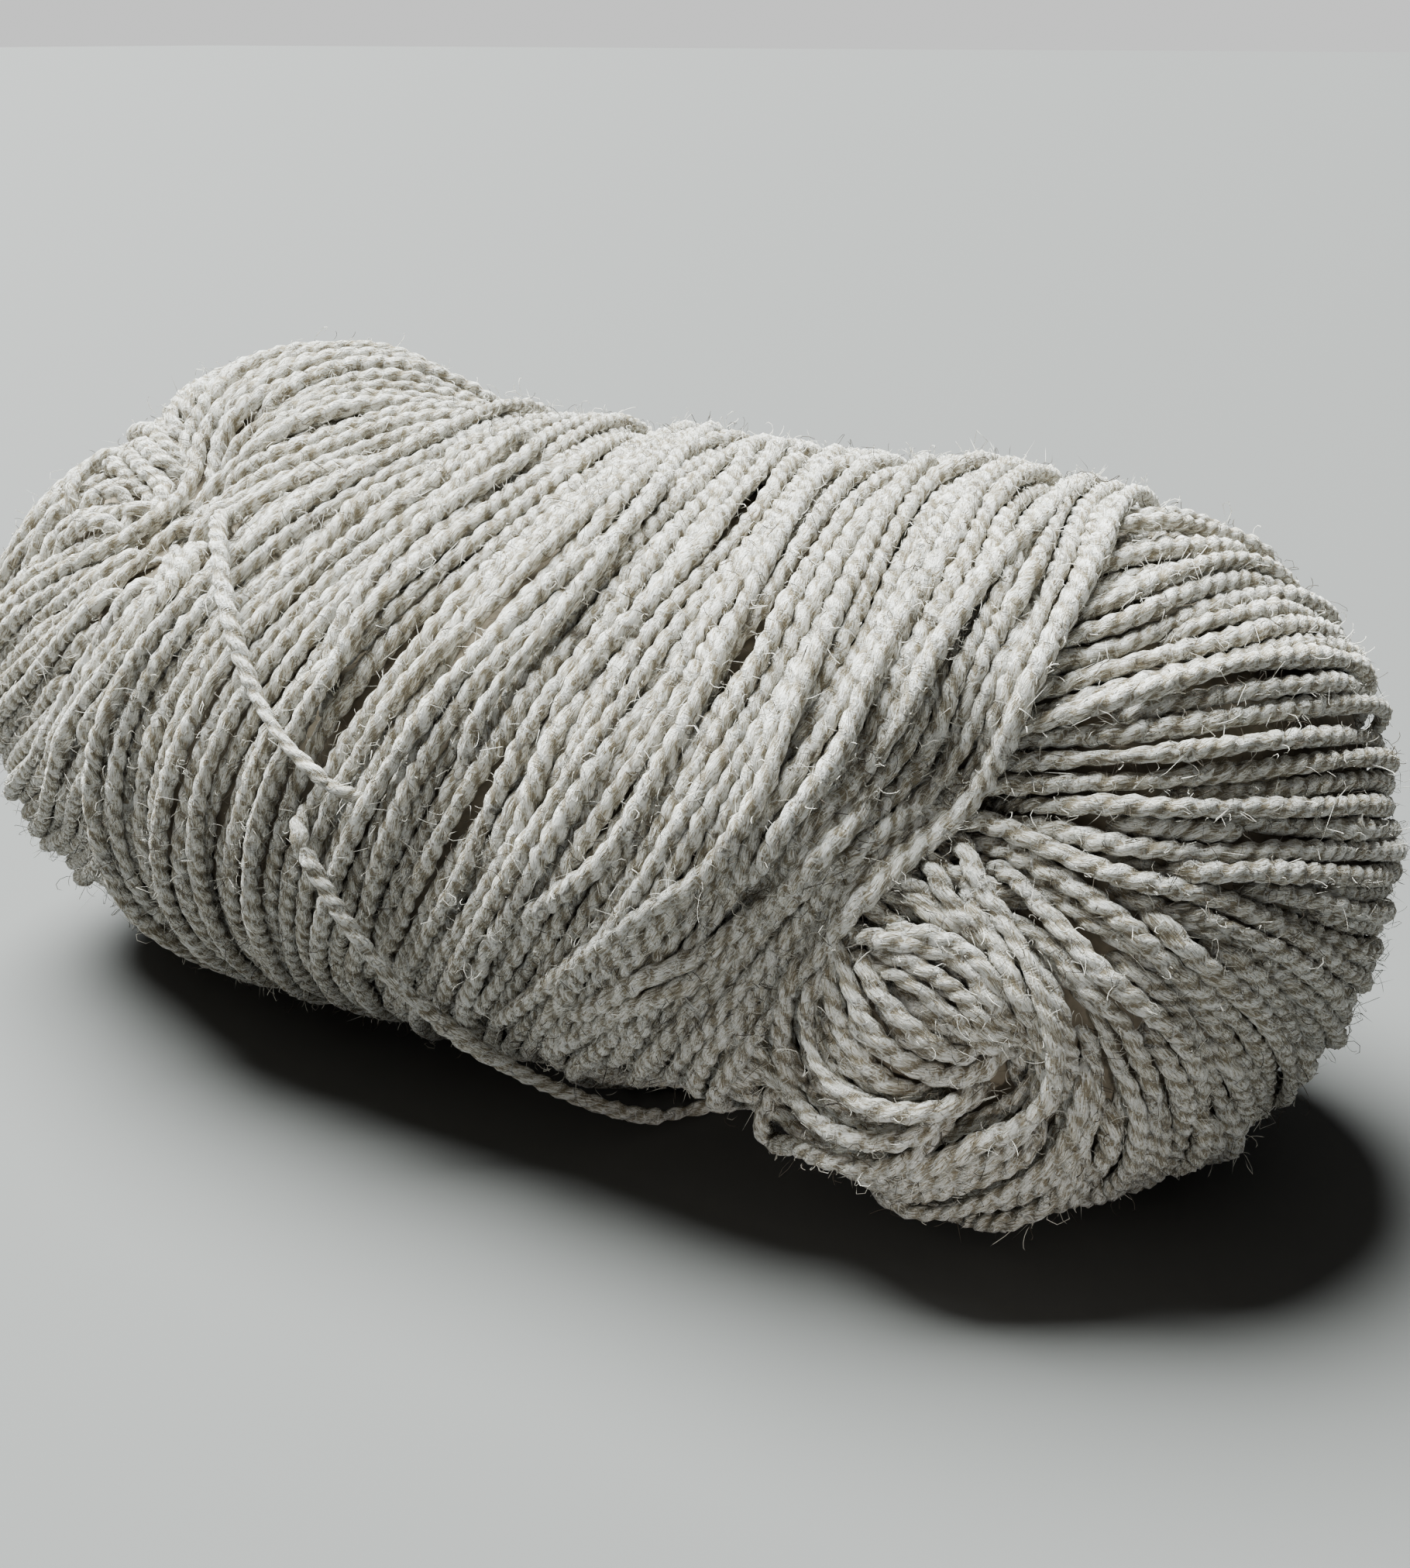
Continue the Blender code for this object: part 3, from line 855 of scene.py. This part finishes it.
wool = {
    "light": (0.95, 0.935, 0.885), "mid": (0.73, 0.685, 0.58), "shade": (0.29, 0.238, 0.152), "midAt": 0.45,
    "heather": (0.095, 0.075, 0.055), "pale": (0.96, 0.955, 0.92),
    "roughness": 0.90, "specular": 0.25, "sheen": 0.20, "sheenRoughness": 0.5,
    "bump": 1.0, "relief": 0.00042,
    "unwind": 0.85,  # 1 lays the fibres along the strand, 0 along its plies
    "depth": 0.36,  # the shade that the groove and the noises add to
    # shading: how much each term darkens the colour; the groove's share is painted shade between the plies,
    # the noises and the tone are the fibres' own colour
    "shading": {"groove": 0.75, "fine": 4.6, "middle": 1.8, "coarse": 1.2, "tone": 0.07},
    "lifting": {"fine": 0.9, "middle": 0.8, "bright": 0.25, "streak": 0.3, "groove": 0.8},
    "grooveWobble": (1.4, 2.0, 0.10), "grooveSharpness": 5.0,  # frequency, detail, amount
    "fibres": (  # fine, middle, coarse, streak, thread: waves along and across, detail, distortion, roughness
        (0.9, 5.6, 2.0, 1.0, 0.65), (0.9, 2.6, 2.0, 1.0, 0.6), (0.30, 0.9, 2.0, 0.4, 0.6),
        (0.75, 7.5, 1.0, 2.2, 0.6), (0.9, 9.0, 1.0, 3.2, 0.6),
    ),
    # wandering fibres: scale, width and shift of the noise that draws them
    "darkLines": (400.0, 0.034, 0.11), "brightLines": ((480.0, 0.050, 0.23), (680.0, 0.060, 0.37)),
    "lineStrength": 0.8, "lineGaps": (0.7, 0.50, 0.56),  # scale in shares of the line's, where gaps end
    "streaksFrom": (0.66, 0.72, 0.0, 0.85),  # where they start and are full, and how strong they are there
    "threadsFrom": (0.62, 0.70, 0.0, 0.8),
}
fullTurn = 6.2832


def woolMaterial(name):
    material = bpy.data.materials.new(name)
    material.use_nodes = True
    tree = material.node_tree
    shader = tree.nodes["Principled BSDF"]
    uv = addNode(tree, "ShaderNodeUVMap", {"uv_map": "strand"})
    along = addNode(tree, "ShaderNodeSeparateXYZ", (), (uv,))  # millimetres along the strand
    around = Socket(tree, along.out.node.outputs[1])  # share of the way round it
    place = addNode(tree, "ShaderNodeTexCoord", output=3)
    tone = addNode(tree, "ShaderNodeAttribute", {"attribute_name": "tone"}, output=2)
    frequency, detail, amount = wool["grooveWobble"]
    wobble = addNode(tree, "ShaderNodeTexNoise", {"noise_dimensions": "1D"},
                     {"W": along * frequency, "Detail": detail})
    # the two grooves between the plies: painted shade in the colour, and a dip in the bump
    groove = ((around + wobble * amount - amount / 2) * fullTurn).math("SINE").math("ABSOLUTE").math(
        "POWER", wool["grooveSharpness"])
    turned = (around - along * (wool["unwind"] / (yarn["twistLength"] * 1000))) * fullTurn

    def noise(vector, scale, detail, roughness=0.5, distortion=0.0):
        return addNode(tree, "ShaderNodeTexNoise", {}, {
            "Vector": vector, "Scale": scale, "Detail": detail,
            "Roughness": roughness, "Distortion": distortion})

    def fibres(lengthwise, across, detail, distortion, roughness):
        # noise drawn out along the fibres; the circle keeps it whole where the strand's seam closes
        circle = (turned.math("COSINE") * across, turned.math("SINE") * across, along * lengthwise)
        vector = addNode(tree, "ShaderNodeCombineXYZ", (), circle)
        return noise(vector, 1.0, detail, roughness, distortion)

    def mapped(value, low, high, atLow, atHigh):
        return addNode(tree, "ShaderNodeMapRange", {}, (value, low, high, atLow, atHigh))

    def wandering(scale, width, shift):
        # loose fibres that lie over the strands as thin broken lines
        away = (shift, 0.3 * shift, -shift)
        moved = addNode(tree, "ShaderNodeVectorMath", {"operation": "ADD"}, (place, away))
        line = noise(moved, scale, 1.0, distortion=1.0)
        gapScale, low, high = wool["lineGaps"]
        shown = mapped(noise(moved, gapScale * scale, 0.0), low, high, 0.0, 1.0)
        return mapped((line - 0.5).math("ABSOLUTE"), 0.0, width, 1.0, 0.0) * shown

    def towards(colour, amount, below):
        inputs = {0: amount, 6: below, 7: (*colour, 1.0)}
        return addNode(tree, "ShaderNodeMix", {"data_type": "RGBA"}, inputs, output=2)

    fine, middle, coarse, streak, thread = (fibres(*row) for row in wool["fibres"])
    s = wool["shading"]
    # the colour's darkness: the fibres' own tone from the noises and the strand's tone, plus painted shade in
    # the grooves between the plies
    fibreToneAndPaintedShade = (groove * s["groove"] + (fine - 0.5) * s["fine"] + (middle - 0.5) * s["middle"]
                   + (coarse - 0.5) * s["coarse"] + tone * s["tone"]).math("ADD", wool["depth"], clamp=True)
    stops = ((0.0, wool["light"]), (wool["midAt"], wool["mid"]), (1.0, wool["shade"]))
    base = addNode(tree, "ShaderNodeValToRGB", {"stops": stops}, (fibreToneAndPaintedShade,))
    darkLines = wandering(*wool["darkLines"]) * wool["lineStrength"]
    dark = mapped(streak, *wool["streaksFrom"]).math("MAXIMUM", darkLines)
    lines, moreLines = (wandering(*row) for row in wool["brightLines"])
    brightLines = lines.math("MAXIMUM", moreLines) * wool["lineStrength"]
    bright = mapped(thread, *wool["threadsFrom"]).math("MAXIMUM", brightLines)
    lit = towards(wool["pale"], bright, towards(wool["heather"], dark, base))
    tree.links.new(lit.out, shader.inputs["Base Color"])
    shader.inputs["Roughness"].default_value = wool["roughness"]
    shader.inputs["Specular IOR Level"].default_value = wool["specular"]
    shader.inputs["Sheen Weight"].default_value = wool["sheen"]
    shader.inputs["Sheen Roughness"].default_value = wool["sheenRoughness"]
    s = wool["lifting"]
    lift = (fine * s["fine"] + middle * s["middle"] + bright * s["bright"] - streak * s["streak"]
            - groove * s["groove"])
    bump = addNode(tree, "ShaderNodeBump", {}, {
        "Strength": wool["bump"], "Distance": wool["relief"], "Height": lift})
    tree.links.new(bump.out, shader.inputs["Normal"])
    return material


grainyWool = {"scale": 900.0, "detail": 2.0, "darker": 0.7, "roughness": 0.95, "specular": 0.2}


def plainWool(name, colour):
    material = bpy.data.materials.new(name)
    material.use_nodes = True
    tree = material.node_tree
    shader = tree.nodes["Principled BSDF"]
    place = addNode(tree, "ShaderNodeTexCoord", output=3)
    grain = addNode(tree, "ShaderNodeTexNoise", {}, {
        "Vector": place, "Scale": grainyWool["scale"], "Detail": grainyWool["detail"]})
    stops = ((0.3, tuple(c * grainyWool["darker"] for c in colour)), (0.7, colour))
    shade = addNode(tree, "ShaderNodeValToRGB", {"stops": stops}, (grain,))
    tree.links.new(shade.out, shader.inputs["Base Color"])
    shader.inputs["Roughness"].default_value = grainyWool["roughness"]
    shader.inputs["Specular IOR Level"].default_value = grainyWool["specular"]
    return material


woundWool = woolMaterial("wound_wool_strands")

# pieces of wound strands
mostTriangles = 190000  # in one piece


def triangles(tubes):
    return sum(2 * len(tube["quads"]) + len(tube["tris"]) for tube in tubes)


allTubes = []
wound = {"binding_turns": makeBinding(), "near_fan": makeEnd(nearEnd), "far_fan": makeEnd(farEnd)}
print("strands laid", {name: len(tubes) for name, tubes in wound.items()})
for name, tubes in wound.items():
    allTubes += tubes
    groups = [[]]
    for tube in tubes:
        if triangles(groups[-1] + [tube]) > mostTriangles:
            groups.append([])
        groups[-1].append(tube)
    for index, group in enumerate(groups):
        piece = joined(f"{name}_{index + 1}", group)
        piece.data.materials.append(woundWool)
        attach(piece, "root")
        print(piece.name, "strands", len(group), "triangles", triangles(group),
              "length", round(sum(pathLength(tube["centres"]) for tube in group), 2))

# the core: the imported solid, drawn in so that it closes the gaps between the strands; its dark colour is
# painted shade, standing for the same wool in shadow between them
winding = {
    "weld": 0.00002, "smoothing": 0.5, "smoothRounds": 6,
    "depth": 0.0026, "raised": 0.0011, "raisedRun": 0.004,  # it stands a little higher under the binding
    # colour: far darker than the strands' wool, painted shade for the lower layers seen in the gaps
    "floorGap": 0.0012, "colour": (0.25, 0.21, 0.155),
}


def windingCore():
    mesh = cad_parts["skein"].data.copy()
    core = addObject("winding_core", mesh)
    bpy.ops.object.select_all(action="DESELECT")
    bpy.context.view_layer.objects.active = core
    core.select_set(True)
    bpy.ops.object.mode_set(mode="EDIT")
    bpy.ops.mesh.select_all(action="SELECT")
    bpy.ops.mesh.remove_doubles(threshold=winding["weld"])
    bpy.ops.mesh.vertices_smooth(factor=winding["smoothing"], repeat=winding["smoothRounds"])
    bpy.ops.object.mode_set(mode="OBJECT")
    co = np.zeros(len(mesh.vertices) * 3)
    mesh.vertices.foreach_get("co", co)
    co = co.reshape(-1, 3)
    co[:, 2] += woundForm["lowered"]
    base, normals = onForm(co, 4)
    under = np.minimum(edgeDepth(base, nearEnd), edgeDepth(base, farEnd)) / winding["raisedRun"]
    co = base - normals * (winding["depth"] - winding["raised"] * np.clip(under, 0, 1)[:, None])
    co[:, 2] = np.maximum(co[:, 2] - woundForm["lowered"], winding["floorGap"])
    mesh.vertices.foreach_set("co", co.ravel())
    mesh.update()
    mesh.materials.clear()
    mesh.materials.append(plainWool("inner_wool_painted_shade", winding["colour"]))
    mesh.shade_smooth()
    return core


core = windingCore()
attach(core, "root")
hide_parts("skein")
print("core done")

# loose fibres: they are likelier where a strand faces the camera, within the range of chance
darkShare = 0.36
halo = {
    "seed": 31, "count": 15000, "facing": 0.25, "chance": (0.10, 0.9), "offFloor": (0.001, 0.004),
    "shortest": 0.0008, "longest": 0.0028, "thickness": 0.000036, "uneven": (0.7, 0.6),
    "root": 0.40,  # how far out they start, in diameters of the strand
    "out": 0.30, "along": 0.85, "anyWay": 0.45, "bend": 0.55, "bendBack": 0.35,
    "ripples": 5.5, "ripple": 0.18, "rippleWay": 0.45,
}
curly = {
    "seed": 33, "count": 12500, "facing": 0.3, "chance": (0.12, 0.9), "offFloor": (0.001, 0.004),
    "knots": 6, "thickness": 0.000038, "uneven": (0.75, 0.5), "root": 0.42, "lift": 0.00010,
    "arc": (0.00030, 0.0010), "sweep": (1.6, 5.2), "unevenSweep": 0.35,  # radius, and radians of an arc
    "lean": 0.7, "anyWay": 0.8, "rising": 0.45, "drift": 0.0012, "driftOut": 0.7,
}
stray = {
    "seed": 32, "count": 50, "facing": 0.0, "chance": (0.02, 1), "offFloor": None,
    "knots": 30, "thickness": 0.000042, "step": 0.00030, "height": 0.0014, "bob": 0.0004, "bobs": 0.5,
    "firstTurn": 0.35, "keepTurning": 0.93, "newTurn": 0.16,
}
fibreColours = {"pale": (0.80, 0.77, 0.69), "dark": (0.09, 0.075, 0.06), "stray": (0.11, 0.09, 0.07)}


def fibreMesh(name, lines, radii):
    # three-sided hairs: each line is a row of points with a tip at both ends
    count, knots = lines.shape[:2]
    ways = unit(np.gradient(lines, axis=1))
    helper = np.where(np.abs(ways[..., 2:]) < 0.8, np.array([0, 0, 1.0]), np.array([1.0, 0, 0]))
    across = unit(np.cross(ways, helper))
    other = np.cross(ways, across)
    radii = radii[..., None]
    turns = [k * 2 * math.pi / 3 for k in range(3)]
    sides = [lines + radii * (math.cos(a) * across + math.sin(a) * other) for a in turns]
    inner = (knots - 2) * 3
    rings = np.stack(sides, axis=2)[:, 1:-1].reshape(count, inner, 3)
    points = np.concatenate([rings, lines[:, :1], lines[:, -1:]], axis=1).reshape(-1, 3)
    points[:, 2] = np.maximum(points[:, 2], 0.0001)
    base = np.arange(count) * (inner + 2)
    quads, tris = [], []
    for k in range(3):
        after = (k + 1) % 3
        tris.append(np.stack([base + after, base + k, base + inner], -1))
        tris.append(np.stack([base + inner - 3 + k, base + inner - 3 + after, base + inner + 1], -1))
        for i in range(0, inner - 3, 3):
            corners = (i + k, i + after, i + 3 + after, i + 3 + k)
            quads.append(np.stack([base + corner for corner in corners], -1))
    quads = np.stack(quads, axis=1).reshape(-1, 4) if quads else np.zeros((0, 4), int)
    return meshPiece(name, points, quads, np.stack(tris, axis=1).reshape(-1, 3))


def rootsOf(kind, rng):
    # where fibres leave the strands: centre, way out and way along
    centres, normals, ways = (gathered(allTubes, key) for key in ("centres", "normals", "ways"))
    toEye = unit(np.array(cameraView["place"]) - centres)
    chance = np.clip((normals * toEye).sum(1) + kind["facing"], *kind["chance"])
    if kind["offFloor"]:
        low, over = kind["offFloor"]
        chance = chance * np.clip((centres[:, 2] - low) / over, 0, 1)
    pick = rng.choice(len(centres), kind["count"], p=chance / chance.sum())
    return centres[pick], normals[pick], ways[pick]


def leaned(normals, ways, lean):
    return np.cos(lean) * normals + np.sin(lean) * np.cross(ways, normals)


def unevenRadii(kind, rng, knots):
    least, more = kind["uneven"]
    return kind["thickness"] * (least + more * rng.random((kind["count"], 1))) * np.ones((1, knots))


def haloLines():
    # short fibres that leave the strands on a bent course
    h = halo
    rng = np.random.default_rng(h["seed"])
    centres, normals, ways = rootsOf(h, rng)
    column = (h["count"], 1)
    out = leaned(normals, ways, rng.normal(size=column))
    length = h["shortest"] + (h["longest"] - h["shortest"]) * rng.random(column) ** 2.2
    start = centres + out * yarn["diameter"] * h["root"]
    along = np.where(rng.random(column) < 0.5, 1.0, -1.0) * ways
    first = unit(h["out"] * out + h["along"] * along + h["anyWay"] * rng.normal(size=out.shape))
    bend = h["bend"] * rng.normal(size=out.shape) - h["bendBack"] * out
    sideways = h["rippleWay"] * rng.normal(size=out.shape)
    t = np.array((0.0, 0.45, 1.0))[None, :, None]
    ripple = np.sin(t * h["ripples"]) * h["ripple"] * sideways[:, None]
    lines = start[:, None] + length[:, None] * (t * first[:, None] + t**2 * bend[:, None] + ripple)
    return lines, unevenRadii(h, rng, 3), rng.random(h["count"]) < darkShare


def curlyLines():
    # fibres that bend round in an arc or a loop just over the strands
    c = curly
    rng = np.random.default_rng(c["seed"])
    centres, normals, ways = rootsOf(c, rng)
    column, many = (c["count"], 1), (c["count"], 1, 1)
    out = leaned(normals, ways, rng.normal(size=column) * c["lean"])
    u = unit(ways * rng.choice([-1.0, 1.0], column) + c["anyWay"] * rng.normal(size=out.shape))
    v = unit(c["rising"] * out + c["anyWay"] * rng.normal(size=out.shape))
    least, more = c["arc"]
    radius = least + more * rng.random(many) ** 1.5
    sweep = rng.uniform(*c["sweep"], column)
    t = np.linspace(0, 1, c["knots"])[None]
    turn = sweep * t * (1 + c["unevenSweep"] * rng.normal(size=column) * t)
    drift = unit(u + c["driftOut"] * out)[:, None] * (c["drift"] * rng.random(many)) * t[..., None]
    start = centres + out * yarn["diameter"] * c["root"]
    arc = radius * (np.sin(turn)[..., None] * u[:, None] + (1 - np.cos(turn))[..., None] * v[:, None])
    lines = start[:, None] + drift + arc + c["lift"] * out[:, None]
    return lines, unevenRadii(c, rng, c["knots"]), rng.random(c["count"]) < darkShare


def strayLines():
    # a few long stray fibres that wander over the strands
    s = stray
    rng = np.random.default_rng(s["seed"])
    lines = []
    for centre, n, _ in zip(*rootsOf(s, rng)):
        u = unit(np.cross(n, rng.normal(size=3)))
        v = np.cross(n, u)
        heading = rng.uniform(0, 6.28)
        x = y = 0.0
        turn = rng.normal() * s["firstTurn"]
        row = []
        for k in range(s["knots"]):
            turn = s["keepTurning"] * turn + s["newTurn"] * rng.normal()
            heading += turn
            x += s["step"] * math.cos(heading)
            y += s["step"] * math.sin(heading)
            height = s["height"] + s["bob"] * math.sin(k * s["bobs"] + turn)
            row.append(centre + n * height + u * x + v * y)
        lines.append(row)
    lines = np.array(lines)
    return lines, np.full(lines.shape[:2], s["thickness"])


def addFibres(name, lines, radii, colour):
    hairs = fibreMesh(name, lines, radii)
    hairs.data.materials.append(plainWool(name + "_wool", colour))
    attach(hairs, "root")
    print(name, len(lines), "triangles", sum(len(face.vertices) - 2 for face in hairs.data.polygons))


for name, (lines, radii, dark) in (("halo", haloLines()), ("curly", curlyLines())):
    addFibres(name + "_fibres", lines[~dark], radii[~dark], fibreColours["pale"])
    addFibres(name + "_fibres_dark", lines[dark], radii[dark], fibreColours["dark"])
addFibres("stray_fibres", *strayLines(), fibreColours["stray"])

# the two stretches of the loose outer end
for name, route in outerEnd.items():
    path = smoothPath(route, laying["step"])
    tube = strandTube(path, onForm(path)[1], laying["cordThickness"], laying["looseTone"])
    strand = joined(name.replace("outer_end", "crossing_strand"), [tube])
    strand.data.materials.append(woundWool)
    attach(strand, "root")
    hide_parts(name)
    print(strand.name, "length", round(pathLength(path), 4))

# floor and light
studio = {
    "floor": (0.092, 0.092, 0.090), "floorHalf": 12.0, "floorRoughness": 0.8,
    "backdrop": (0.925, 0.93, 0.925), "sky": 0.10, "seen": 0.87,
}
suns = {  # where it shines from, angle across in degrees, strength, colour
    "window": ((-0.50, 0.12, 1.0), 46, 25.5, (0.945, 1.0, 0.985)),
    "front": ((-0.45, -0.80, 0.60), 70, 0.20, (1.0, 0.90, 0.76)),
}
bounce = {  # the light that a pale card low in front gives the near end
    "place": (0.32, -0.29, 0.05), "aim": (0.068, -0.042, 0.011), "cone": 10, "power": 2.6, "size": 0.02,
    "colour": (1.0, 0.97, 0.92),
}


def addFloor():
    bpy.ops.mesh.primitive_plane_add(size=2 * studio["floorHalf"], location=(0, 0, 0))
    floor = bpy.context.active_object
    floor.name = "floor"
    material = bpy.data.materials.new("pale_floor")
    material.use_nodes = True
    shader = material.node_tree.nodes["Principled BSDF"]
    shader.inputs["Base Color"].default_value = (*studio["floor"], 1.0)
    shader.inputs["Roughness"].default_value = studio["floorRoughness"]
    floor.data.materials.append(material)


def addLamp(name, kind, strength, colour, back):
    # back: the way from what it lights to the lamp
    lamp = bpy.data.lights.new(name, kind)
    lamp.energy, lamp.color = strength, colour
    thing = addObject(name, lamp)
    thing.rotation_mode = "QUATERNION"
    thing.rotation_quaternion = Vector(back).to_track_quat("Z", "Y")
    return thing


def addLights():
    for name, (source, across, strength, colour) in suns.items():
        sun = addLamp(name, "SUN", strength, colour, source)
        sun.data.angle = math.radians(across)
    back = Vector(bounce["place"]) - Vector(bounce["aim"])
    spot = addLamp("bounce", "SPOT", bounce["power"], bounce["colour"], back)
    spot.location = bounce["place"]
    spot.data.shadow_soft_size = bounce["size"]
    spot.data.spot_size, spot.data.spot_blend = math.radians(bounce["cone"]), 1.0


def addWorld():
    world = bpy.data.worlds.new("studio")
    bpy.context.scene.world = world
    world.use_nodes = True
    tree = world.node_tree
    back = tree.nodes["Background"]
    back.inputs["Color"].default_value = (*studio["backdrop"], 1.0)
    # dim for the light it gives, pale where the camera sees it
    seen = addNode(tree, "ShaderNodeLightPath")
    tree.links.new((seen * studio["seen"] + studio["sky"]).out, back.inputs["Strength"])


addFloor()
addLights()
addWorld()
print("floor and lights done")
